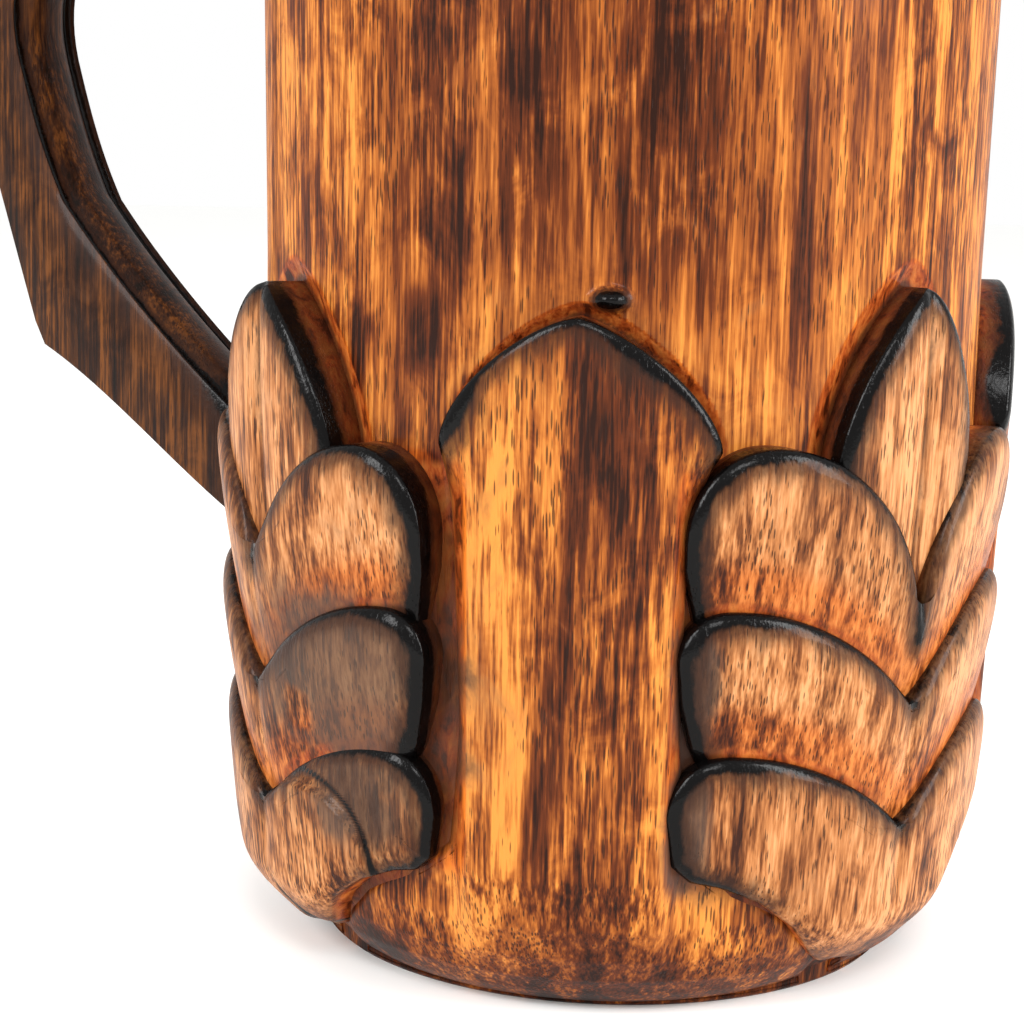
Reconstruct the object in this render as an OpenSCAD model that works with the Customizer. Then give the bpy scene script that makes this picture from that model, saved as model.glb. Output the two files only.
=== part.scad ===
// Carved wooden mug with a band of leaves and overlapping scales, and a wooden side handle.
// The origin is on the mug's axis, on the plane that it stands on. +Z is up and the handle is at -X.

/* [Mug] */
// Height from the standing face to the rim
body_h = 165; // [150:1:180]
// Radius of the plain wall just above the carved band
body_r = 44.6; // [42:0.1:46]
// Radius of the wall at the rim
rim_r = 46; // [44:0.1:48]
// Radius of the drinking bore
bore_r = 38.3; // [36:0.1:39.5]
// Height of the floor inside the bore
floor_z = 13; // [10:0.5:16]
// Radius of the foot
foot_r = 36.5; // [34:0.1:38]
// Height of the foot's upright edge
foot_h = 2.5; // [1.5:0.5:4]

/* [Base plug] */
// Radius of the plug's lower step, which shows on the underside
plug_r = 29; // [24:0.5:31]
// Height of the plug's lower step
plug_step = 6; // [4:0.5:8]
// Glue gap round the plug and the dowels
glue_gap = 0.05; // [0.02:0.01:0.1]

/* [Carved band] */
// Turn of the carved band about the mug's axis
band_turn = 0; // [-1.5:0.5:1.5]
// Height of the leaves' tips
leaf_top = 82; // [78:1:86]
// Radius of the leaves' faces at their tips
leaf_r = 49.4; // [49:0.1:50]
// Half the width of the front wide leaf
leaf_half = 14; // [13.5:0.5:15]
// Half the width of a front pair of scales
tier_half = 29.3; // [28.5:0.1:30]
// Height of the undersides of the lowest scales
lobe_bottom = 3.5; // [3:0.5:5]

/* [Handle] */
// Thickness of the handle from side to side
handle_w = 13; // [11:0.5:15]
// Furthest reach of the handle's corner from the mug's axis
corner_x = 92; // [88:1:96]
// Height of the upper dowel
upper_z = 148; // [146:0.5:149]
// Height of the lower dowel
lower_z = 53; // [52:0.5:54]

/* [Dowels] */
// Radius of the dowels
dowel_r = 4; // [3:0.5:4.5]
// Depth of each dowel in the handle
dowel_in_handle = 12; // [8:1:14]
// Wood left between a dowel and the drinking bore
dowel_skin = 2.5; // [2:0.5:3]

/* [Hidden] */
$fn = 96;

wood = "peru";
dark_wood = "saddlebrown";
core_r = foot_r - 4;       // inner radius of every carved solid, inside the wall
prism = 60;                // length of the prisms that cut the carved outlines
steps = 8;                 // steps along each curved stretch of an outline

// The band is cut by hand, so its parts are uneven: the turn of each, and the stretch of its width.
lobes = [[-16.5, 1], [-120.3, 1], [111, 1.33]];
wide_leaves = [[-67.7, 1], [38, 1.13], [-176, 1.13]];

// Radii and heights of a wide leaf's face, from its tip down to the foot.
wide_face = [[leaf_r, leaf_top + 2], [49, 66], [47.5, 50], [46.5, 34], [45.9, 20], [44.6, 11], [41.9, 6],
    [foot_r + 2, foot_h]];

// Points along the curves that the outlines are made of.
function quarter(cx, cz, a, b) = [for (i = [0:steps]) [cx + a * cos(90 * i / steps), cz + b * sin(90 * i / steps)]];
function fall(x0, z0, dx, dz, power) = [for (i = [1:steps]) [x0 + dx * i / steps, z0 - dz * pow(i / steps, power)]];
function bezier(a, b, c, d) =
    [for (i = [0:steps]) let (t = i / steps, u = 1 - t)
        u * u * u * a + 3 * u * u * t * b + 3 * u * t * t * c + t * t * t * d];

// Half of a shape and its mirror image, joined into one outline.
function both_halves(half) = concat(half, [for (i = [len(half) - 1:-1:0]) if (half[i][0] > 0) [-half[i][0], half[i][1]]]);

// Two scales side by side: each has a short round shoulder and a long fall to the ridge between them.
function tier_outline(apex, top, drop, bottom) = both_halves(concat(
    [[tier_half - 1.5, bottom]],
    quarter(apex, top - 6, tier_half - apex, 6),
    fall(apex, top, -apex, drop, 1.9)));

// A leaf: two arcs that meet in a point, above straight sides.
function leaf_outline(half, top, shoulder, bottom_half, bottom) = both_halves(concat(
    [[bottom_half, bottom]],
    [for (i = [0:steps]) let (t = i / steps) [half * pow(1 - t, 0.7), shoulder + (top - shoulder) * pow(t, 0.85)]]));

// A ring whose face follows the given radii and heights, from the top down.
module ring(face) rotate_extrude() polygon(concat([[core_r, face[0][1]]], face, [[core_r, face[len(face) - 1][1]]]));

// The part of a ring inside a stretched outline that faces outwards at the given turn.
module carved(turn, stretch, outline) rotate([0, 0, turn]) intersection() {
    children();
    rotate([90, 0, 90]) linear_extrude(prism) scale([stretch, 1]) polygon(outline);
}

module wide_leaf(turn, stretch)
    carved(turn, stretch, leaf_outline(leaf_half, leaf_top, 63, leaf_half + 1.5, foot_h)) ring(wide_face);

module narrow_leaf(turn, stretch) carved(turn, stretch, leaf_outline(17, leaf_top, 62, 12, 44))
    ring([[leaf_r, leaf_top + 2], [leaf_r - 2.2, 50], [46.6, 42]]);

module scales(turn, stretch) {
    carved(turn, stretch, tier_outline(21, 66.5, 18.5, 30)) ring([[50, 68], [48, 46], [46, 30]]);
    carved(turn, stretch, tier_outline(24.5, 48.5, 12.5, 18)) ring([[49.2, 50], [46.9, 32], [45, 18]]);
    carved(turn, stretch, tier_outline(24.5, 32.3, 10.5, lobe_bottom))
        ring([[48.4, 34], [47, 20], [45.8, 11], [43.2, 6], [41.8, lobe_bottom]]);
}

module plain_wall() rotate_extrude() polygon([[0, 0], [foot_r, 0], [foot_r, foot_h], [foot_r + 4, 6],
    [body_r - 1.2, 11], [body_r, 16], [body_r, leaf_top + 6], [rim_r, body_h - 2], [rim_r - 2, body_h], [0, body_h]]);

// The drinking bore above the stepped seat of the plug.
module inside() rotate_extrude() polygon([[0, -1], [plug_r + glue_gap, -1], [plug_r + glue_gap, plug_step],
    [bore_r, plug_step], [bore_r, body_h - 2], [bore_r + 2, body_h], [bore_r + 2, body_h + 1], [0, body_h + 1]]);

// A dowel lies along X, from the wall into the handle's end.
module dowel(z, seat_r, r, extra) translate([-seat_r - dowel_in_handle - extra, 0, z]) rotate([0, 90, 0])
    cylinder(r = r, h = seat_r + dowel_in_handle + extra - bore_r - dowel_skin + extra);

module mug_body() color(wood) difference() {
    union() {
        plain_wall();
        for (leaf = wide_leaves) wide_leaf(band_turn + leaf[0], leaf[1]);
        for (lobe = lobes) {
            narrow_leaf(band_turn + lobe[0], lobe[1]);
            scales(band_turn + lobe[0], lobe[1]);
        }
    }
    inside();
    dowel(upper_z, body_r, dowel_r + glue_gap, glue_gap);
    dowel(lower_z, leaf_r, dowel_r + glue_gap, glue_gap);
}

module base_plug() color(dark_wood) rotate_extrude() polygon([[0, 0], [plug_r, 0], [plug_r, plug_step + glue_gap],
    [bore_r - glue_gap, plug_step + glue_gap], [bore_r - glue_gap, floor_z], [0, floor_z]]);

// The handle's outline, with its distance from the mug's axis along X and its height along Y.
handle_outline = concat(
    [[44, 41], [59, 47.5], [66, 51.5], [78, 61], [88, 67.5], [corner_x, 69.7], [corner_x + 5, 82]],
    bezier([corner_x + 8, 90], [115, 124], [118, 158], [44, 156]),
    bezier([44, 141], [84, 140], [102, 130], [96.5, 111]),
    [[92.5, 99], [89, 90], [84, 85], [76, 77], [68, 69.5], [44, 54]]);

module handle() color(dark_wood) difference() {
    rotate([90, 0, 180]) linear_extrude(handle_w, center = true) polygon(handle_outline);
    plain_wall();
    ring(wide_face);
    dowel(upper_z, body_r, dowel_r + glue_gap, glue_gap);
    dowel(lower_z, leaf_r, dowel_r + glue_gap, glue_gap);
}

module upper_dowel() color(wood) dowel(upper_z, body_r, dowel_r, 0);
module lower_dowel() color(wood) dowel(lower_z, leaf_r, dowel_r, 0);

mug_body();
base_plug();
handle();
upper_dowel();
lower_dowel();
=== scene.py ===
"""Carved wooden mug: the looks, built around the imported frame.

Names that end in _mm are millimetres, and everything handed to Blender is in metres. A turn is an angle
about the mug's axis in degrees, anticlockwise from +X seen from above, and across is a length along the
wall at REF_MM.
"""
import math

import bmesh
import bpy
import numpy as np
from mathutils import Matrix, Vector


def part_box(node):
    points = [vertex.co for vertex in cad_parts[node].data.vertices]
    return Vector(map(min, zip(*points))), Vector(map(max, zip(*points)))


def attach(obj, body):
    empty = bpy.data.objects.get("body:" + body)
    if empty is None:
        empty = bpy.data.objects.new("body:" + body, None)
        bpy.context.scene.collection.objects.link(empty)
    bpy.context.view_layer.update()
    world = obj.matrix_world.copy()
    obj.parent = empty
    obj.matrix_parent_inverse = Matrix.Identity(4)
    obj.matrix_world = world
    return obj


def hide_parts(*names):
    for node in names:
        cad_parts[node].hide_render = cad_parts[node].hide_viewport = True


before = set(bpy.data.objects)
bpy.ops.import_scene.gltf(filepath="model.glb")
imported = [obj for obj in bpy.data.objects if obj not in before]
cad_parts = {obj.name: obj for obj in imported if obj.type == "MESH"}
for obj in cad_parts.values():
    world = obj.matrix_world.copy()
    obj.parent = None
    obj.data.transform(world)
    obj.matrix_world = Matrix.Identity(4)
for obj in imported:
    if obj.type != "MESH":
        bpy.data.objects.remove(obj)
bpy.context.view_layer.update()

MM = 0.001
BODY_TOP_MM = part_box("mug_body")[1].z / MM
PLUG_TOP_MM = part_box("base_plug")[1].z / MM
BORE_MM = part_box("base_plug")[1].x / MM
HANDLE_W_MM = (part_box("handle")[1].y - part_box("handle")[0].y) / MM

# --- The wall and the carved band ---
REF_MM = 49.0            # radius at which lengths across the wall are measured
WALL_MM = 44.6           # radius of the plain wall above the carving
RIM_MM = 46.0            # radius of the wall at the rim
FOOT_MM = 36.5           # radius of the foot
FOOT_HIGH_MM = 2.2       # height of the foot's upright edge
PLUG_MM = 29.0           # radius of the plug's lower step
PLUG_STEP_MM = 6.0       # height of the plug's lower step
GLUE_GAP_MM = 0.05       # gap round the plug
BURIED_MM = 41.3         # radius of the hidden backs of the carved pieces
GROOVE_MM = 3.0          # width of the cut beside each carved outline
CAMERA_TURN = -62.0      # turn of the camera's side of the mug

# Each lobe: its turn, the stretch of its left and right scales, the stretch of its leaf's two halves, how
# far it stands out, how much lower it sits, how far the fold between its top scales dips, and the side that
# faces away from the front leaf.
LOBES = (
    dict(turn=-15.2, scales=(0.83, 0.76), leaf=(0.75, 0.56), stand=0.0, lower=0.0, dip=8.0, away=1),
    dict(turn=-121.0, scales=(0.79, 0.75), leaf=(0.9, 0.84), stand=1.3, lower=1.4, dip=0.5, away=-1),
    dict(turn=111.0, scales=(1.16, 1.16), leaf=(1.0, 0.95), stand=0.3, lower=0.5, dip=4.0, away=1),
)
# Each wide leaf: its turn, the height of its tip, the tip's place across it, and the stretch of its width.
WIDE_LEAVES = (
    dict(turn=-67.7, tip=80.3, lean=0.4, spread=1.0),
    dict(turn=38.0, tip=83.2, lean=-1.5, spread=1.14),
    dict(turn=-176.0, tip=79.5, lean=0.5, spread=1.14),
)

# The small dark knot above the front leaf: its turn, height, half width, half height, and how proud it is.
KNOT = dict(turn=-63.4, height=82.0, half_wide=2.1, half_high=1.1, proud=1.9)

# Marks in the wood: turn, height, half width, half height, lean across per height, strength, and kind. A
# mark with a strength below 0 is worn clean.
MARKS = (
    (-67.5, 49.0, 1.9, 34.0, 0.1, 0.7, "stain"),       # the heart streak down the front leaf
    (-63.0, 66.0, 4.0, 12.0, 0.05, 0.4, "stain"),
    (-71.0, 30.0, 1.6, 14.0, 0.12, 0.7, "stain"),
    (-56.0, 104.0, 11.0, 28.0, 0.0, 0.85, "stain"),     # the dark patch above the front leaf's right side
    (-75.0, 104.0, 7.0, 32.0, 0.0, 0.8, "stain"),
    (-34.0, 104.0, 12.0, 32.0, 0.0, 0.5, "stain"),
    (-66.0, 66.0, 13.0, 10.0, 0.0, 0.25, "stain"),
    (-96.0, 100.0, 3.4, 42.0, 0.02, 0.5, "stain"),    # the dark streak on the wall's left
    (-92.0, 78.0, 4.2, 5.5, 0.0, 0.7, "stain"),
    (-24.0, 100.0, 3.5, 30.0, 0.0, 0.45, "stain"),
    (-60.0, 8.0, 13.0, 6.0, 0.0, 0.45, "stain"),       # the darker foot
    (-75.0, 9.0, 4.0, 6.0, 0.2, 0.55, "stain"),
    (-33.0, 58.0, 14.0, 9.0, 0.0, 0.3, "stain"),
    (-33.0, 20.0, 14.0, 9.0, 0.0, 0.3, "stain"),
    (-51.0, 40.0, 2.8, 7.5, 0.0, 1.0, "soot"),         # darker grey on the right lobe's inner corners
    (-51.0, 24.0, 3.0, 8.0, 0.0, 1.0, "soot"),
    (-100.0, 38.0, 17.0, 10.5, 0.0, 1.0, "soot"),      # smoke over the left lobe
    (-97.0, 25.0, 8.5, 6.5, 0.0, 0.8, "soot"),
    (-109.0, 33.5, 2.4, 2.6, 0.0, -0.8, "soot"),
    (-88.0, 35.0, 2.5, 4.0, 0.0, -0.4, "soot"),
)


def smooth(value, low, high):
    """0 below low, 1 above high, and an even curve between them."""
    t = np.clip((value - low) / (high - low), 0.0, 1.0)
    return t * t * (3.0 - 2.0 * t)


def on_wall(turn, radius_mm, height_mm):
    """Points in metres from turns in radians, radii and heights in millimetres."""
    return np.stack((radius_mm * np.cos(turn), radius_mm * np.sin(turn), height_mm), axis=-1) * MM


def wall_radius(height_mm):
    """Radius of the turned wall under the carving, down to the foot."""
    return np.interp(height_mm, (0, FOOT_HIGH_MM, 4, 6.5, 10, 15, 20, 85, 165),
                     (FOOT_MM, FOOT_MM + 0.2, 38.4, 40.6, 42.8, 44.2, WALL_MM, WALL_MM, RIM_MM))


# --- Outlines, as closed loops of (across, height) in millimetres, anticlockwise from the bottom ---
def mirrored(half):
    """A half outline from bottom to top on the right, and its mirror image back down on the left."""
    half = np.array(half, float)
    left = half[::-1] * (-1, 1)
    if abs(half[-1][0]) < 1e-6:
        left = left[1:]
    return np.concatenate((half, left))


def leaf_half(half_width, tip, shoulder, power, fullness, sides):
    """A pointed arch above the given points of its side."""
    climb = np.linspace(0, 1, 40)
    width = half_width * (1 - climb ** power) ** fullness
    return list(sides) + list(zip(width, shoulder + (tip - shoulder) * climb))


def halves(loop, left, right):
    """A loop with its left and right halves stretched across by their own amounts."""
    return loop * np.where(loop[:, :1] > 0, (right, 1), (left, 1))


def wide_leaf_outline(leaf):
    """A tall pointed leaf down to the foot, fuller at the right shoulder, where it runs over the scales."""
    foot = [(39.0, 0.7), (38.0, 5.0), (33.4, 8.6), (29.8, 11.6), (24.6, 15.1), (19.2, 17.6), (15.0, 20.6),
            (13.4, 34.0)]
    right = leaf_half(16.6, leaf["tip"], 66.0, 1.6, 0.8,
                      foot + [(13.4, 50.0), (13.6, 56.7), (14.4, 61.0), (15.6, 64.3)])
    left = leaf_half(15.4, leaf["tip"], 66.0, 1.6, 0.7, foot + [(14.2, 50.0), (14.6, 58.0), (14.9, 63.0)])
    loop = np.concatenate((np.array(right), np.array(left)[-2::-1] * (-1, 1)))
    loop[:, 0] += leaf["lean"] * smooth(loop[:, 1], 66.0, leaf["tip"])
    return loop * (leaf["spread"], 1)


def narrow_leaf_outline(lobe):
    """A pointed leaf that rises from behind a lobe's top scales."""
    loop = mirrored(leaf_half(18.0, 83.6, 64.0, 1.6, 0.72, [(3.0, 40.0), (11.0, 49.0), (16.6, 58.0)]))
    return halves(loop, *lobe["leaf"]) - (0, lobe["lower"])


# Each tier of scales, in millimetres: the places across and height of its apex, its fall from there to the
# fold and the fall's power, how much it takes of its lobe's dip, how far its shoulder reaches and drops,
# its face's radius at the top, the points of its side below the shoulder, and its lowest height.
TIERS = (
    dict(apex=27.0, top=66.5, fall=15.0, dip=1.0, power=2.1, reach=38.6, round=10.0, proud=49.6,
         sides=[(35.0, 42.0), (37.4, 49.5), (38.5, 53.0)], bottom=31.0),
    dict(apex=32.0, top=48.6, fall=12.5, dip=0.0, power=2.0, reach=39.1, round=5.6, proud=48.9,
         sides=[(33.5, 28.5), (36.6, 33.0), (38.4, 38.0)], bottom=17.5),
    dict(apex=31.5, top=32.2, fall=10.5, dip=0.0, power=1.9, reach=39.9, round=7.0, proud=48.2,
         sides=[(8.0, 4.6), (12.0, 6.4), (15.0, 8.4), (18.8, 11.4), (24.9, 14.9), (31.4, 17.0), (35.9, 17.8),
                (38.8, 19.8)], bottom=4.0),
)


def tier_top(tier, across, dip):
    """Height of a pair of scales' top edge: it falls from each apex to the fold, and is round outside it."""
    reach = np.clip(np.abs(across), 0, tier["reach"])
    fall = tier["fall"] * np.clip((tier["apex"] - reach) / tier["apex"], 0, 1) ** tier["power"]
    fall = fall + dip * tier["dip"] * np.exp(-reach / 1.6)
    out = np.clip((reach - tier["apex"]) / (tier["reach"] - tier["apex"]), 0, 1)
    return tier["top"] - fall - tier["round"] * (1 - np.sqrt(1 - out * out))


def tier_outline(tier, lobe):
    """A pair of scales, side by side."""
    bend = np.linspace(math.pi / 2, 0, 16)
    shoulder = tier["apex"] + (tier["reach"] - tier["apex"]) * np.sin(bend)
    fall = np.concatenate((np.linspace(tier["apex"], 4, 34)[1:], np.linspace(4, 0, 16)[1:]))
    top = [(x, float(tier_top(tier, x, lobe["dip"]))) for x in (*shoulder, *fall)]
    loop = mirrored([(0.01, tier["bottom"])] + tier["sides"] + top)
    loop[:, 1] -= lobe["lower"] * smooth(loop[:, 1], 8.0, 24.0)
    return halves(loop, *lobe["scales"])


# --- Meshes ---
def resampled(loop, count):
    """count points evenly spaced round a closed loop, and the directions that point into it."""
    closed = np.concatenate((loop, loop[:1]))
    along = np.concatenate(([0], np.cumsum(np.hypot(*np.diff(closed, axis=0).T))))
    place = np.linspace(0, along[-1], count, endpoint=False)

    def at(where):
        where = np.mod(where, along[-1])
        return np.stack([np.interp(where, along, side) for side in closed.T], axis=-1)

    reach_mm = 0.9
    tangent = at(place + reach_mm) - at(place - reach_mm)
    inward = np.stack((-tangent[:, 1], tangent[:, 0]), axis=-1)
    return at(place), inward / np.linalg.norm(inward, axis=1)[:, None]


def ring_grid(rings):
    """A square grid whose vertices are counted as rings round its middle: the mesh, the columns and rows of
    its vertices, their ring numbers, and their places round the rings."""
    bm = bmesh.new()
    bmesh.ops.create_grid(bm, x_segments=2 * rings, y_segments=2 * rings, size=1)
    # The squares on the diagonals are cut corner to corner, so that they fold with the rings.
    corners = [vert for vert in bm.verts if abs(abs(vert.co.x) - abs(vert.co.y)) < 1e-4]
    bmesh.ops.connect_verts(bm, verts=corners)
    mesh = bpy.data.meshes.new("carved")
    bm.to_mesh(mesh)
    bm.free()
    u, v = np.rint(np.array([vert.co[:2] for vert in mesh.vertices]) * rings).astype(int).T
    ring = np.maximum(np.abs(u), np.abs(v))
    k = np.maximum(ring, 1)
    way = np.select((u == ring, v == ring, u == -ring), (v + k, 3 * k - u, 5 * k - v), 7 * k + u)
    return mesh, u + rings, v + rings, ring, np.mod(way / (8 * k), 1.0)


def relaxed(flat, column, row, free):
    """Places on a grid, with the free ones moved between their neighbours until they lie evenly."""
    side = column.max() + 1
    grid = np.zeros((side, side, 2))
    loose = np.zeros((side, side, 1), bool)
    grid[column, row] = flat
    loose[column, row, 0] = free
    for _ in range(300):
        between_them = sum(np.roll(grid, shift, axis) for shift in (-1, 1) for axis in (0, 1)) / 4
        grid = np.where(loose, between_them, grid)
    return grid[column, row]


def new_object(name, mesh, material, replaced="mug_body"):
    """A finished piece on the root body, standing for the CAD node it replaces."""
    mesh.name = name
    piece = bpy.data.objects.new(name, mesh)
    bpy.context.scene.collection.objects.link(piece)
    mesh.materials.append(material)
    mesh.polygons.foreach_set("use_smooth", [True] * len(mesh.polygons))
    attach(piece, "root")
    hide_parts(replaced)
    return piece


def batches(count):
    """Slices that take count points 4000 at a time, so that a table of distances stays small."""
    return [slice(first, first + 4000) for first in range(0, count, 4000)]


def store(mesh, name, values):
    """Keeps one number for each vertex, which the materials read."""
    layer = mesh.attributes.new(name, "FLOAT", "POINT")
    layer.data.foreach_set("value", np.asarray(values, np.float32))


def close_back(mesh, turn, middle_mm):
    """Closes a carved piece behind, with rings that follow the wall inside it."""
    bm = bmesh.new()
    bm.from_mesh(mesh)
    loop = [e for e in bm.edges if e.is_boundary]
    for share in (0.75, 0.67, 0.5):
        made = bmesh.ops.extrude_edge_only(bm, edges=loop)["geom"]
        loop = [g for g in made if isinstance(g, bmesh.types.BMEdge) and g.is_boundary]
        for vert in [g for g in made if isinstance(g, bmesh.types.BMVert)]:
            x, y, z = vert.co
            angle = math.remainder(math.atan2(y, x) - turn, 2 * math.pi) * share + turn
            height = middle_mm * MM + (z - middle_mm * MM) * share
            radius = min(BURIED_MM, float(wall_radius(height / MM)) - 1.5) * MM
            vert.co = (radius * math.cos(angle), radius * math.sin(angle), height)
    bmesh.ops.edgeloop_fill(bm, edges=loop)
    bmesh.ops.recalc_face_normals(bm, faces=bm.faces)
    bm.to_mesh(mesh)
    bm.free()


def marks(turn, height):
    """How stained and how sooty the wood is at turns in radians and heights, and darker towards the foot."""
    stain = np.zeros(np.shape(turn))
    soot = np.zeros(np.shape(turn))
    for spot_turn, spot_height, half_wide, half_high, lean, strength, kind in MARKS:
        away = np.mod(turn - math.radians(spot_turn) + math.pi, 2 * math.pi) - math.pi
        up = height - spot_height
        away = away * REF_MM - lean * up
        cover = strength * np.exp(-(np.abs(away / half_wide) ** 2.5 + np.abs(up / half_high) ** 4))
        if kind == "soot":
            soot = np.where(strength > 0, np.maximum(soot, cover), soot + cover)
        else:
            stain = np.where(strength > 0, np.maximum(stain, cover), stain + cover)
    # Every piece is darker towards the foot, below 13 mm.
    stain = np.maximum(stain, 0.72 * (1 - smooth(height, 2.0, 13.0)))
    return stain, np.clip(soot, 0, 1)


def carved_piece(name, turn, loop, middle, face, burn, bare, material, rings=56, edge_mm=1.5, roll_mm=3.6,
                 scorch=None, fold=False):
    """A raised leaf or pair of scales. face gives the radius of its face, burn how scorched its rim is, and
    bare how far the cut wood shows orange, from places across and heights. Its rim rolls over by edge_mm
    within roll_mm, and its sides go down into the wall."""
    turn = math.radians(turn)
    mesh, column, row, ring, way = ring_grid(rings)
    rim, inward = resampled(loop, 8 * rings)
    index = np.rint(way * 8 * rings).astype(int) % (8 * rings)
    share = way * 8 * rings - np.floor(way * 8 * rings)
    near = np.floor(way * 8 * rings).astype(int) % (8 * rings)
    after = (near + 1) % (8 * rings)
    outer = rim[near] * (1 - share)[:, None] + rim[after] * share[:, None]
    aim = inward[near] * (1 - share)[:, None] + inward[after] * share[:, None]
    bends = 12                # rings round the rolled rim
    fade_mm = 1.9             # how far a burn fades from the rim
    step = rings - ring       # 0 at the foot of the side, counting inwards
    angle = np.clip((step - 2) / bends, 0, 1) * math.pi / 2
    room = np.clip(np.abs(outer[:, 0]) / 4.0, 0.3, 1.0) if fold else 1.0
    inset = roll_mm * room * (1 - np.cos(angle))
    flat = outer + aim * inset[:, None]
    shrink = np.clip((rings - step) / (rings - 2 - bends), 0, 1)
    flat = relaxed(middle + (flat - middle) * shrink[:, None], column, row, step > bends + 2)
    radius = np.maximum(face(flat[:, 0], flat[:, 1]) - edge_mm * (1 - np.sin(angle)), FOOT_MM + 0.1)
    foot = np.minimum(BURIED_MM, wall_radius(flat[:, 1]) - 1.2)
    radius = np.where(step == 0, foot, np.where(step == 1, radius * 0.5 + (foot + 1.5) * 0.5, radius))
    points = on_wall(turn + flat[:, 0] / REF_MM, radius, flat[:, 1])
    mesh.vertices.foreach_set("co", points.ravel())
    char = np.zeros(len(flat))
    weight = burn(rim[:, 0], rim[:, 1])
    for part in batches(len(flat)):
        away = np.hypot(flat[part, None, 0] - rim[None, :, 0], flat[part, None, 1] - rim[None, :, 1])
        char[part] = (weight[None, :] * np.exp(-away / fade_mm)).max(axis=1)
    char = np.where(step <= 1, 0.34 * weight[index], char)
    stain, soot = marks(turn + flat[:, 0] / REF_MM, flat[:, 1])
    if scorch:
        char = np.maximum(char, scorch(flat[:, 0], flat[:, 1]))
    store(mesh, "char", char)
    store(mesh, "cut", np.where(step <= 1, 0.9, bare(flat[:, 0], flat[:, 1])))
    store(mesh, "stain", stain)
    store(mesh, "soot", soot)
    close_back(mesh, turn, middle[1])
    return new_object(name, mesh, material)


# --- Colours and shader nodes ---
def linear(code):
    """A linear colour from its sRGB hex code."""
    parts = [int(code[i:i + 2], 16) / 255 for i in (1, 3, 5)]
    return (*(c / 12.92 if c <= 0.04045 else ((c + 0.055) / 1.055) ** 2.4 for c in parts), 1.0)


def add(tree, kind, inputs=None, stops=(), **settings):
    """One node with its settings and its ramp's (place, colour) stops, and its inputs set to values or
    linked to sockets. A node given as an input stands for its first output in use."""
    node = tree.nodes.new("ShaderNode" + kind)
    for key, value in settings.items():
        setattr(node, key, value)
    if stops:
        bar = node.color_ramp.elements
        while len(bar) < len(stops):
            bar.new(0.5)
        for stop, (place, code) in zip(bar, stops):
            stop.position = place
            stop.color = linear(code)
    for key, value in (inputs or {}).items():
        if isinstance(value, bpy.types.Node):
            value = next(socket for socket in value.outputs if socket.enabled)
        if isinstance(value, bpy.types.NodeSocket):
            tree.links.new(value, node.inputs[key])
        else:
            node.inputs[key].default_value = value
    return node


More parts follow.
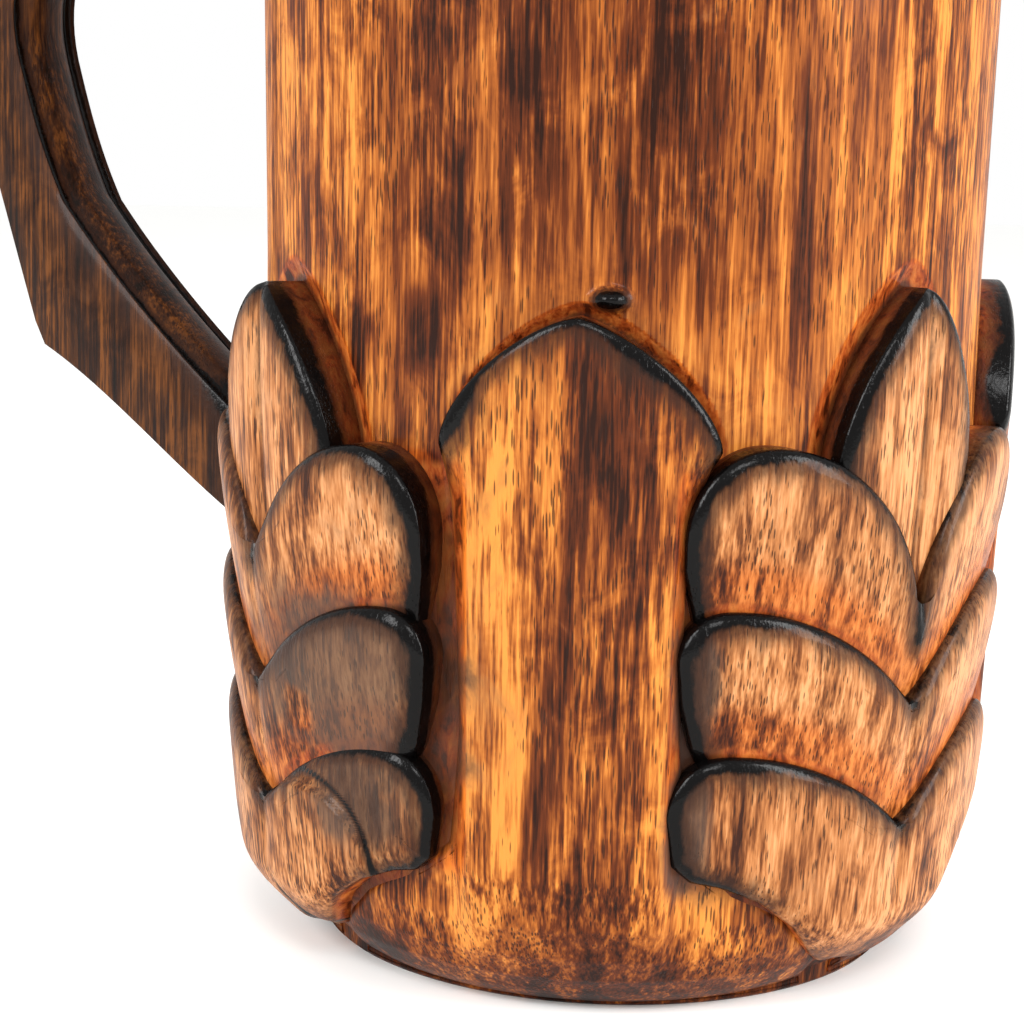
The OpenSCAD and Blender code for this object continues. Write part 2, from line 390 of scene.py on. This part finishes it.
def wood_material(name, light, middle, dark, deep, burnt=True, seed=0.0):
    """Wood with dark streaks up the grain and short dark pores, under oil or lacquer. The burnt kind is
    orange where it was freshly cut, smoky where the flame passed and glossy black where it caught an edge;
    on the handle the same black also paints shade into the hollows.
    A Mix node's inputs 0, 6 and 7 are its amount and its two colours."""
    material = bpy.data.materials.new(name)
    material.use_nodes = True
    tree = material.node_tree
    tree.nodes.clear()
    place = add(tree, "TexCoord").outputs["Object"]

    # Each pattern: its features' width and height in millimetres, detail, roughness, distortion, shift.
    patterns = {
        "streaks": (3.6, 50.0, 4.0, 0.6, 0.5, (seed, 0, 0)),      # dark heartwood
        "bands": (15.0, 160.0, 2.0, 0.5, 0.3, (0, seed, 3)),      # slow changes across the growth rings
        "lines": (0.6, 14.0, 3.0, 0.6, 0.0, (2, 1, seed)),        # fine dark lines
        "fibre": (0.35, 9.0, 2.0, 0.5, 0.0, (4, 1, seed)),        # fibres, felt through the lacquer
        "mottle": (6.0, 9.0, 4.0, 0.6, 0.8, (5, seed, 1)),        # cloudy stain
        "crowd": (6.0, 20.0, 2.0, 0.5, 0.0, (1, 7, seed)),        # where the pores are large
    }
    if burnt:
        patterns["ragged"] = (1.6, 4.0, 4.0, 0.65, 0.5, (seed, 2, 2))     # torn fibres, edges of burns
        patterns["lumps"] = (0.7, 0.8, 2.0, 0.6, 0.0, (3, 3, seed))       # blistered char
    grain = {}
    for pattern, (width_mm, height_mm, detail, rough, warp, shift) in patterns.items():
        scale = (1000 / width_mm, 1000 / width_mm, 1000 / height_mm)
        spot = add(tree, "Mapping", {"Vector": place, "Scale": scale, "Location": shift})
        grain[pattern] = add(tree, "TexNoise", {"Vector": spot, "Scale": 1.0, "Detail": detail,
                                                "Roughness": rough, "Distortion": warp})

    weights = {"streaks": 0.85, "bands": 0.6, "lines": 0.95, "fibre": 0.4, "mottle": 0.7}
    tone = 0.5 - sum(weights.values()) / 2
    for pattern, weight in weights.items():
        tone = add(tree, "Math", {0: grain[pattern], 1: weight, 2: tone}, operation="MULTIPLY_ADD")
    if burnt:
        stain = add(tree, "Attribute", attribute_name="stain").outputs["Fac"]
        blotch = add(tree, "Math", {0: grain["lines"], 1: 1.2, 2: stain}, operation="MULTIPLY_ADD")
        blotch = add(tree, "Math", {0: blotch, 1: grain["mottle"]}, operation="ADD")
        blotch = add(tree, "MapRange", {"Value": blotch, "From Min": 1.25, "From Max": 1.95, "To Max": 0.2},
                     interpolation_type="SMOOTHSTEP")
        tone = add(tree, "Math", {0: tone, 1: blotch}, operation="SUBTRACT")
    colour = add(tree, "ValToRGB", {"Fac": tone},
                 stops=((0.20, deep), (0.38, dark), (0.53, middle), (0.70, light)))

    # Acacia's pores are dashes 0.1 to 0.2 mm wide and 1 to 3 mm long.
    # They are drawn a little wider, so that they show.
    cells = add(tree, "Mapping", {"Vector": place, "Scale": (1000 / 0.34, 1000 / 0.34, 1000 / 3.6)})
    pore = add(tree, "TexVoronoi", {"Vector": cells, "Scale": 1.0, "Randomness": 1.0}, feature="F1",
               distance="EUCLIDEAN")
    reach = add(tree, "MapRange", {"Value": grain["crowd"], "From Min": 0.3, "From Max": 0.65, "To Min": 0.06,
                                   "To Max": 0.33}, interpolation_type="SMOOTHSTEP")
    pore = add(tree, "Math", {0: pore, 1: reach}, operation="SUBTRACT")
    pore = add(tree, "MapRange", {"Value": pore, "From Min": -0.07, "From Max": 0.07, "To Min": 1.0,
                                  "To Max": 0.0}, interpolation_type="SMOOTHSTEP")
    amount = add(tree, "Math", {0: pore, 1: 0.78}, operation="MULTIPLY")
    colour = add(tree, "Mix", {0: amount, 6: colour, 7: linear("#231008")}, data_type="RGBA")

    roughness = add(tree, "Math", {0: grain["fibre"], 1: 0.2, 2: 0.36}, operation="MULTIPLY_ADD")
    height = add(tree, "Math", {0: pore, 1: -0.6}, operation="MULTIPLY")
    height = add(tree, "Math", {0: grain["fibre"], 1: 0.35, 2: height}, operation="MULTIPLY_ADD")
    if burnt:
        cut = add(tree, "Attribute", attribute_name="cut").outputs["Fac"]
        amount = add(tree, "MapRange", {"Value": cut, "From Min": 0.02, "From Max": 0.22},
                     interpolation_type="SMOOTHSTEP")
        warm = add(tree, "Mix", {0: 1.0, 6: colour, 7: linear("#F6D0A0")}, data_type="RGBA",
                   blend_type="MULTIPLY")
        colour = add(tree, "Mix", {0: amount, 6: colour, 7: warm}, data_type="RGBA")
        amount = add(tree, "MapRange", {"Value": cut, "From Min": 0.25, "From Max": 0.7},
                     interpolation_type="SMOOTHSTEP")
        orange = add(tree, "ValToRGB", {"Fac": grain["ragged"]},
                     stops=((0.36, "#3E1606"), (0.47, "#8E3C14"), (0.66, "#C9702F")))
        colour = add(tree, "Mix", {0: amount, 6: colour, 7: orange}, data_type="RGBA")

        soot = add(tree, "Attribute", attribute_name="soot").outputs["Fac"]
        smoke = add(tree, "Math", {0: grain["mottle"], 1: 1.4, 2: soot}, operation="MULTIPLY_ADD")
        smoke = add(tree, "MapRange", {"Value": smoke, "From Min": 0.8, "From Max": 1.45, "To Max": 0.8},
                    interpolation_type="SMOOTHSTEP")
        colour = add(tree, "Mix", {0: smoke, 6: colour, 7: linear("#41362F")}, data_type="RGBA")

        char = add(tree, "Attribute", attribute_name="char").outputs["Fac"]
        char = add(tree, "Math", {0: grain["ragged"], 1: 0.55, 2: char}, operation="MULTIPLY_ADD")
        char = add(tree, "Math", {0: grain["mottle"], 1: 0.5, 2: char}, operation="MULTIPLY_ADD")
        tan = add(tree, "MapRange", {"Value": char, "From Min": 0.565, "From Max": 1.025, "To Max": 0.84},
                  interpolation_type="SMOOTHSTEP")
        colour = add(tree, "Mix", {0: tan, 6: colour, 7: linear("#2C170D")}, data_type="RGBA")
        black = add(tree, "MapRange", {"Value": char, "From Min": 1.025, "From Max": 1.305},
                    interpolation_type="SMOOTHSTEP")
        colour = add(tree, "Mix", {0: black, 6: colour, 7: linear("#050404")}, data_type="RGBA")
        roughness = add(tree, "MapRange", {"Value": black, "To Min": roughness, "To Max": 0.18})
        blisters = add(tree, "Math", {0: grain["lumps"], 1: tan}, operation="MULTIPLY")
        height = add(tree, "Math", {0: blisters, 1: 0.9, 2: height}, operation="MULTIPLY_ADD")
    bump = add(tree, "Bump", {"Strength": 0.5, "Distance": 0.00022, "Height": height})
    shader = add(tree, "BsdfPrincipled", {
        "Base Color": colour, "Roughness": roughness, "Normal": bump, "IOR": 1.45,
        "Specular IOR Level": 0.1, "Coat Weight": 0.08, "Coat Roughness": 0.1, "Coat IOR": 1.5})
    add(tree, "OutputMaterial", {"Surface": shader})
    return material


# Acacia, turned, smoked over a flame and lacquered: strong orange with dark streaks, under a soft even shine.
lacquered_acacia = wood_material("lacquered acacia, turned and flame-burnt",
                                 "#CC8036", "#94501C", "#58260B", "#200A02")
# The same wood, cut back with a knife, sanded and lacquered: paler and pinker, with the pores cut open.
carved_acacia = wood_material("lacquered acacia, knife-carved",
                              "#C98D5C", "#A4683A", "#6E3D1D", "#30150A", seed=2.0)
# A darker board of acacia, sawn, shaped and smoked all over: brown to black, with a duller shine.
handle_acacia = wood_material("lacquered acacia, sawn and smoked",
                              "#633815", "#3D200B", "#241006", "#0E0602", seed=9.0)
# Acacia, turned to a disc and only oiled: even mid brown.
plug_acacia = wood_material("oiled acacia, turned disc",
                            "#B87A42", "#8E5026", "#552810", "#2A1209", burnt=False, seed=4.0)
# Beech dowel rod, left bare under the glue: pale straw, with faint flecks.
dowel_beech = wood_material("bare beech dowel",
                            "#D9B98C", "#C9A574", "#A8824F", "#7C5A30", burnt=False, seed=6.0)


# --- The carved band ---
def wide_leaf(name, leaf):
    """A tall leaf that runs from its tip down to the mug's foot."""
    def face(across, height):
        """Nearly upright at the tip, leaning in towards the foot, and lower along its straight sides."""
        across = across / leaf["spread"]
        side = smooth(np.abs(across), 10.8, 14.6) * (1 - smooth(height, 58, 68))
        rise = np.interp(height, (0.7, 2.6, 5, 8, 12, 18, 30, 50, 66, 84),
                         (37.3, 39.6, 41.9, 43.9, 45.6, 46.9, 47.4, 48.2, 49.0, 49.4))
        return rise - 2.0 * side * smooth(height, 3, 18) + 0.25 * (1 - (across / 15) ** 2)

    def burn(across, height):
        """Black round the arch, most at the left shoulder and half way up on the right."""
        shoulder = np.exp(-((across + 14.5) / 3.0) ** 2 - ((height - 70.0) / 3.5) ** 2)
        arch = np.exp(-((across - 8.5) / 4.5) ** 2) * (height > 66)
        upper = smooth(height, 60, 68)
        return (0.95 + 1.2 * shoulder + 0.75 * arch) * upper + 0.42 * (1 - upper) * smooth(height, 8, 20)

    def bare(across, height):
        """Orange along the straight sides, which were cut down last."""
        side = smooth(np.abs(across) / leaf["spread"], 11.2, 12.6)
        return 0.62 * side * smooth(height, 14, 24) * (1 - smooth(height, 60, 66))

    return carved_piece(name, leaf["turn"], wide_leaf_outline(leaf), (0.0, 17.0), face, burn, bare,
                        lacquered_acacia, rings=64, edge_mm=0.8, roll_mm=1.6)


def narrow_leaf(name, lobe):
    """A short leaf behind a lobe's top scales."""
    def face(across, height):
        """Two slightly rounded halves that meet in a shallow vein."""
        rise = np.interp(height, (40, 50, 60, 70, 83), (46.2, 47.0, 47.8, 48.3, 48.5)) + lobe["stand"]
        vein = 0.8 * np.exp(-(np.abs(across) / 1.4) ** 1.3)
        return rise - vein + 0.4 * np.sin(np.clip(np.abs(across) / 16, 0, 1) * math.pi)

    def burn(across, height):
        """Black all round the leaf above the scales."""
        return 1.25 * smooth(height, 52, 62)

    def vein(across, height):
        """A brown line down the middle."""
        return 0.4 * np.exp(-np.abs(across) / 0.7)

    return carved_piece(name, lobe["turn"], narrow_leaf_outline(lobe), (0.0, 62.0), face, burn, nowhere,
                        carved_acacia, rings=56, edge_mm=1.1, roll_mm=2.8, scorch=vein)


def nowhere(across, height):
    """No bare wood."""
    return np.zeros_like(across)


def scale_pair(name, lobe, level):
    """A pair of scales at a level of a lobe, counted from the top."""
    tier = TIERS[level]
    left, right = lobe["scales"]
    middle = (0.0, (38.0, 24.0, 16.0)[level])
    cut_back = level == 2 and lobe is LOBES[1]

    def face(across, height):
        """Proud along the top edge, leaning in under the next pair down, and rounding in at the foot."""
        across = across / np.where(across > 0, right, left)
        height = height + lobe["lower"] * smooth(height, 8.0, 24.0)
        top = tier_top(tier, across, lobe["dip"])
        end = tier_top(TIERS[level + 1], across, lobe["dip"]) if level < 2 else np.full_like(top, 9.0)
        down = np.clip((top - height) / np.maximum(top - end, 4.0), 0, 1.4)
        rise = tier["proud"] + lobe["stand"] - 2.5 * down ** 1.5
        if level == 2:
            rise = tier["proud"] + lobe["stand"] - 1.9 * down
            rise = rise - 5.2 * (1 - smooth(height, 2.0, 13.0)) ** 1.5
        crease = 1.2 * np.exp(-np.abs(across) / 3.0)
        rise = rise - crease * smooth(height, 8, 20)
        if cut_back:
            rise = rise - toe(across, height)
        return rise

    def burn(across, height):
        """Black along the tops, most on the shoulders by the wide leaf, and browner on the far side."""
        away = across * lobe["away"] > 0
        strength = np.where(away, 0.66, 1.0 + 0.4 * smooth(np.abs(across), 18, 24))
        return strength * (1.0 if level < 2 else 0.2 + 0.8 * smooth(height, 12, 20))

    def undercut(across, height):
        """Bare orange wood just above the next scales down, and warmer wood over that."""
        if level == 2:
            return np.zeros_like(across)
        across = across / np.where(across > 0, right, left)
        height = height + lobe["lower"] * smooth(height, 8.0, 24.0)
        above = height - tier_top(TIERS[level + 1], across, lobe["dip"])
        warm = 0.24 * (1 - smooth(above, 2.0, 9.0))
        return np.maximum(0.58 * (1 - smooth(above, 0.5, 2.0)) * smooth(np.abs(across), 2.0, 8.0), warm)

    def toe_line(across, height):
        """The burnt line round the toe, and the brown wood outside it."""
        outside = toe(across / 0.75, height)
        return np.maximum(0.3 * outside, 3.8 * outside * (1 - outside))

    return carved_piece(name, lobe["turn"], tier_outline(tier, lobe), middle, face, burn, undercut,
                        carved_acacia, rings=64, scorch=toe_line if cut_back else None, fold=True)


def toe(across, height):
    """1 outside the rounded toe that was left standing when the left lobe's lowest scale was cut back."""
    reach = np.hypot((across - 14.0) / 14.5, (height - 15.5) / 10.5)
    return smooth(reach, 0.93, 1.04) * smooth(across, 0.5, 5.0)


for number, leaf in enumerate(WIDE_LEAVES, 1):
    wide_leaf(f"wide_leaf_{number}", leaf)
for number, lobe in enumerate(LOBES, 1):
    narrow_leaf(f"narrow_leaf_{number}", lobe)
    for level, place in enumerate(("top", "middle", "bottom")):
        scale_pair(f"{place}_scales_{number}", lobe, level)


# --- The turned wall ---
def wall_shell():
    """The hollow wall by spinning its section, with a cut beside each leaf that the wall shows."""
    fine = np.arange(60.0, 88.0, 0.42)
    heights = [0.0, 0.4, FOOT_HIGH_MM, *np.linspace(3.0, 20.0, 16), *np.linspace(24.0, 58.0, 8), *fine,
               *np.linspace(90.0, BODY_TOP_MM - 3.0, 16)]
    outer = [(float(wall_radius(z)) - (0.4 if z == 0.0 else 0.0), z) for z in heights]
    half_mm = (RIM_MM - BORE_MM) / 2
    round_mm = 2.4
    lip = [(BORE_MM + half_mm * (1 + math.cos(bend)), BODY_TOP_MM - round_mm + round_mm * math.sin(bend))
           for bend in np.linspace(0, math.pi, 13)]
    inner = [(BORE_MM, z) for z in np.linspace(BODY_TOP_MM - 6.0, PLUG_STEP_MM, 14)]
    seat = [(PLUG_MM + GLUE_GAP_MM, PLUG_STEP_MM), (PLUG_MM + GLUE_GAP_MM, 0.0)]
    section = outer + lip + inner + seat
    bm = bmesh.new()
    verts = [bm.verts.new((x * MM, 0, z * MM)) for x, z in section]
    edges = [bm.edges.new(pair) for pair in zip(verts, verts[1:] + verts[:1])]
    bmesh.ops.spin(bm, geom=verts + edges, cent=(0, 0, 0), axis=(0, 0, 1), angle=2 * math.pi, steps=640,
                   use_merge=True, use_duplicate=False)
    bmesh.ops.recalc_face_normals(bm, faces=bm.faces)
    mesh = bpy.data.meshes.new("wall")
    bm.to_mesh(mesh)
    bm.free()
    points = np.array([vert.co for vert in mesh.vertices]) / MM
    radius = np.hypot(points[:, 0], points[:, 1])
    turn = np.arctan2(points[:, 1], points[:, 0])
    height = points[:, 2]
    char = np.zeros(len(points))
    cut = np.zeros(len(points))
    outside = radius > 40
    shown = np.nonzero(outside & (height > 58) & (height < 88))[0]
    loops = [(math.radians(leaf["turn"]), wide_leaf_outline(leaf), 2.0) for leaf in WIDE_LEAVES]
    loops += [(math.radians(lobe["turn"]), narrow_leaf_outline(lobe), 1.0) for lobe in LOBES]
    gap = np.full(len(shown), 1e3)
    for middle, loop, narrower in loops:
        rim, _ = resampled(loop, 500)
        across = (np.mod(turn[shown] - middle + math.pi, 2 * math.pi) - math.pi) * REF_MM
        close = np.nonzero(np.abs(across) < 32)[0]
        for part in (close[batch] for batch in batches(len(close))):
            spot = np.stack((across[part], height[shown][part]), axis=-1)
            away = np.hypot(spot[:, None, 0] - rim[None, :, 0], spot[:, None, 1] - rim[None, :, 1])
            gap[part] = np.minimum(gap[part], away.min(axis=1) * narrower)
    depth = 0.9 * (1 - smooth(gap, 0.3, GROOVE_MM))
    cut[shown] = 1 - smooth(gap, GROOVE_MM - 1.0, GROOVE_MM + 0.4)
    char[shown] = 0.42 * (1 - smooth(gap, 0.0, 1.3)) + 0.1 * (1 - smooth(gap, GROOVE_MM, GROOVE_MM + 5))
    radius[shown] -= depth
    beside = outside * (1 - smooth(height, 60, 66))
    cut = np.maximum(cut, beside)
    char = np.maximum(char, 0.36 * beside)
    across = (np.mod(turn - math.radians(KNOT["turn"]) + math.pi, 2 * math.pi) - math.pi) * REF_MM
    spread = (across / KNOT["half_wide"]) ** 2 + ((height - KNOT["height"]) / KNOT["half_high"]) ** 2
    knot = outside * np.exp(-spread ** 1.5)
    radius += KNOT["proud"] * knot
    char = np.maximum(char, 1.3 * knot)
    points = on_wall(turn, radius, height)
    mesh.vertices.foreach_set("co", points.ravel())
    stain, soot = marks(turn, height)
    store(mesh, "char", char)
    store(mesh, "cut", cut)
    store(mesh, "stain", stain)
    store(mesh, "soot", soot)
    return new_object("turned_wall", mesh, lacquered_acacia)


wall_shell()


# --- The handle ---
def bezier(a, b, c, d, count):
    """count points along a curve that leaves a towards b and comes to d from c."""
    t = np.linspace(0, 1, count)[:, None]
    a, b, c, d = (np.array(p, float) for p in (a, b, c, d))
    return (1 - t) ** 3 * a + 3 * (1 - t) ** 2 * t * b + 3 * (1 - t) * t ** 2 * c + t ** 3 * d


def handle_piece():
    """The bow: a section with two sharp inner ridges, a hollow beside each and a round middle, led from the
    lower joint to the upper one. Places in its plane are (distance from the mug's axis, height) in
    millimetres."""
    inner = np.concatenate((
        bezier((46.5, 55.0), (58.0, 61.5), (76.0, 76.0), (88.0, 90.0), 26),
        bezier((88.0, 90.0), (92.0, 97.0), (94.0, 103.0), (96.3, 110.5), 12)[1:],
        bezier((96.3, 110.5), (101.5, 129.5), (84.0, 140.0), (43.5, 141.0), 30)[1:]))
    outer = np.concatenate((
        bezier((46.5, 42.5), (62.0, 48.5), (76.0, 62.0), (91.6, 69.4), 26),
        bezier((92.4, 70.0), (96.0, 80.0), (99.0, 89.0), (103.0, 100.0), 12)[1:],
        bezier((103.0, 100.0), (113.5, 135.0), (116.0, 156.5), (43.5, 155.5), 30)[1:]))
    # Each point of the section: its share of half the width, and its lift. A lift above -0.4 is a share of
    # fold_mm over the inner edge; below that it is a share of the way to the outer edge, and past -1 a
    # bulge beyond it.
    inside = [(1.0, -1.0), (1.0, -0.5), (1.0, 0.0), (0.985, 0.02), (0.93, -0.06), (0.84, -0.12),
              (0.74, -0.10), (0.62, 0.0), (0.48, 0.13), (0.3, 0.22), (0.0, 0.26)]
    profile = inside + [(-across, lift) for across, lift in inside[-2::-1]]
    profile += [(-0.985, -1.03), (-0.5, -1.07), (0.0, -1.09), (0.5, -1.07), (0.985, -1.03)]
    fold_mm = 8.0

    def spot(base, back, across, lift):
        """A point of the section that joins a point of the inner edge to one of the outer edge, in metres."""
        depth_mm = np.linalg.norm(base - back)
        rise_mm = lift * fold_mm
        if lift <= -0.4:
            rise_mm = -depth_mm * min(-lift, 1.0) - max(0.0, -lift - 1.0) * fold_mm
        reach, height = base + (base - back) / depth_mm * rise_mm
        return (-reach * MM, across * HANDLE_W_MM / 2 * MM, height * MM)

    bm = bmesh.new()
    place = bm.verts.layers.int.new("place")
    ring = [bm.verts.new() for _ in profile]
    loop = [bm.edges.new(pair) for pair in zip(ring, ring[1:] + ring[:1])]
    for number, vert in enumerate(ring):
        vert[place] = number
    for station, (base, back) in enumerate(zip(inner, outer)):
        if station:
            made = bmesh.ops.extrude_edge_only(bm, edges=loop)["geom"]
            loop = [g for g in made if isinstance(g, bmesh.types.BMEdge) and g.is_boundary]
            ring = [g for g in made if isinstance(g, bmesh.types.BMVert)]
        for vert in ring:
            vert.co = spot(base, back, *profile[vert[place]])
    bmesh.ops.edgeloop_fill(bm, edges=[edge for edge in bm.edges if edge.is_boundary])
    bmesh.ops.recalc_face_normals(bm, faces=bm.faces)
    number = np.array([vert[place] for vert in bm.verts])
    bm.verts.layers.int.remove(place)
    mesh = bpy.data.meshes.new("handle_bow")
    bm.to_mesh(mesh)
    bm.free()
    points = np.array([vert.co for vert in mesh.vertices]) / MM
    lift = np.array([p[1] for p in profile])[number]
    side = np.abs(np.array([p[0] for p in profile])[number])
    # The hollows beside the inner ridges are painted black: partly burnt wood, and partly painted shade that
    # falls in them.
    hollow = np.exp(-((side - 0.82) / 0.14) ** 2) * (np.abs(lift) < 0.3)
    reach = -points[:, 0]
    joint = 1 - smooth(reach, 50, 72)
    char = 0.95 * hollow + 0.12 * (lift > -0.4) + 0.7 * joint * (lift > -0.4) + 0.25 * joint
    store(mesh, "char", char)
    for untouched in ("cut", "stain", "soot"):
        store(mesh, untouched, np.zeros(len(points)))
    return new_object("handle_bow", mesh, handle_acacia, "handle")


handle_piece()


# --- The plug ---
def plug_piece():
    """The stepped disc that closes the bore, with eased edges."""
    ease = 0.4
    section = [(0, 0), (PLUG_MM - ease, 0), (PLUG_MM, ease), (PLUG_MM, PLUG_STEP_MM),
               (BORE_MM - GLUE_GAP_MM, PLUG_STEP_MM), (BORE_MM - GLUE_GAP_MM, PLUG_TOP_MM - ease),
               (BORE_MM - ease, PLUG_TOP_MM), (0, PLUG_TOP_MM)]
    bm = bmesh.new()
    verts = [bm.verts.new((x * MM, 0, z * MM)) for x, z in section]
    edges = [bm.edges.new(pair) for pair in zip(verts, verts[1:])]
    bmesh.ops.spin(bm, geom=verts + edges, cent=(0, 0, 0), axis=(0, 0, 1), angle=2 * math.pi, steps=160,
                   use_merge=True, use_duplicate=False)
    bmesh.ops.remove_doubles(bm, verts=bm.verts, dist=1e-6)
    bmesh.ops.recalc_face_normals(bm, faces=bm.faces)
    mesh = bpy.data.meshes.new("turned_plug")
    bm.to_mesh(mesh)
    bm.free()
    piece = new_object("turned_plug", mesh, plug_acacia, "base_plug")
    mesh.polygons.foreach_set("use_smooth", [False] * len(mesh.polygons))
    return piece


plug_piece()
for node in ("upper_dowel", "lower_dowel"):
    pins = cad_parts[node].data.materials
    pins.clear()
    pins.append(dowel_beech)


# --- Floor, light and camera ---
def floor():
    """A plain white table top, wide enough to fill the view."""
    bm = bmesh.new()
    bmesh.ops.create_circle(bm, cap_ends=True, segments=96, radius=6.0)
    mesh = bpy.data.meshes.new("floor")
    bm.to_mesh(mesh)
    bm.free()
    piece = bpy.data.objects.new("floor", mesh)
    bpy.context.scene.collection.objects.link(piece)
    paint = bpy.data.materials.new("matt white paper")
    paint.use_nodes = True
    shader = paint.node_tree.nodes["Principled BSDF"]
    shader.inputs["Base Color"].default_value = linear("#FEFEFC")
    shader.inputs["Roughness"].default_value = 1.0
    mesh.materials.append(paint)


def soft_box(name, turn, reach, height, size, power):
    """An area light that faces the mug from a turn round it."""
    data = bpy.data.lights.new(name, "AREA")
    data.shape = "RECTANGLE"
    data.size, data.size_y = size
    data.energy = power
    lamp = bpy.data.objects.new(name, data)
    bpy.context.scene.collection.objects.link(lamp)
    angle = math.radians(turn)
    lamp.location = (reach * math.cos(angle), reach * math.sin(angle), height)
    aim = Vector((0, 0, 0.07)) - lamp.location
    lamp.rotation_euler = aim.to_track_quat("-Z", "Y").to_euler()


def daylight(strength):
    """Even white light from all round, and a white ground to see the mug against."""
    world = bpy.data.worlds.new("white room")
    world.use_nodes = True
    back = world.node_tree.nodes["Background"]
    back.inputs["Color"].default_value = (1, 1, 1, 1)
    back.inputs["Strength"].default_value = strength
    bpy.context.scene.world = world


def camera():
    """A camera close to the mug, a hand's width above its foot and looking a little down."""
    reach, height = 0.2805, 0.0945                 # from the mug's axis and above the table
    pitch, yaw, roll = (math.radians(angle) for angle in (8.6, -2.7, 1.3))
    swing = math.radians(CAMERA_TURN + 90)
    ahead = Vector((math.sin(yaw) * math.cos(pitch), math.cos(yaw) * math.cos(pitch), -math.sin(pitch)))
    right = Vector((math.cos(yaw), -math.sin(yaw), 0))
    up = right.cross(ahead)
    right, up = (math.cos(roll) * right + math.sin(roll) * up, math.cos(roll) * up - math.sin(roll) * right)
    axes = Matrix((right, up, -ahead)).transposed()
    data = bpy.data.cameras.new("camera")
    data.sensor_width = 36.0
    data.lens = 77.344
    data.clip_start = 0.01
    eye = bpy.data.objects.new("camera", data)
    turned = Matrix.Rotation(swing, 3, "Z") @ axes
    spot = Matrix.Rotation(swing, 3, "Z") @ Vector((0, -reach, height))
    eye.matrix_world = Matrix.Translation(spot) @ turned.to_4x4()
    bpy.context.scene.collection.objects.link(eye)
    bpy.context.scene.camera = eye


floor()
daylight(1.0)
soft_box("right box", CAMERA_TURN + 70, 0.9, 0.45, (0.3, 0.6), 9)
soft_box("left box", CAMERA_TURN - 50, 0.9, 0.6, (0.3, 0.5), 8)
soft_box("front box", CAMERA_TURN + 10, 1.1, 1.0, (0.5, 0.3), 6)
camera()
bpy.context.scene.view_settings.view_transform = "Standard"
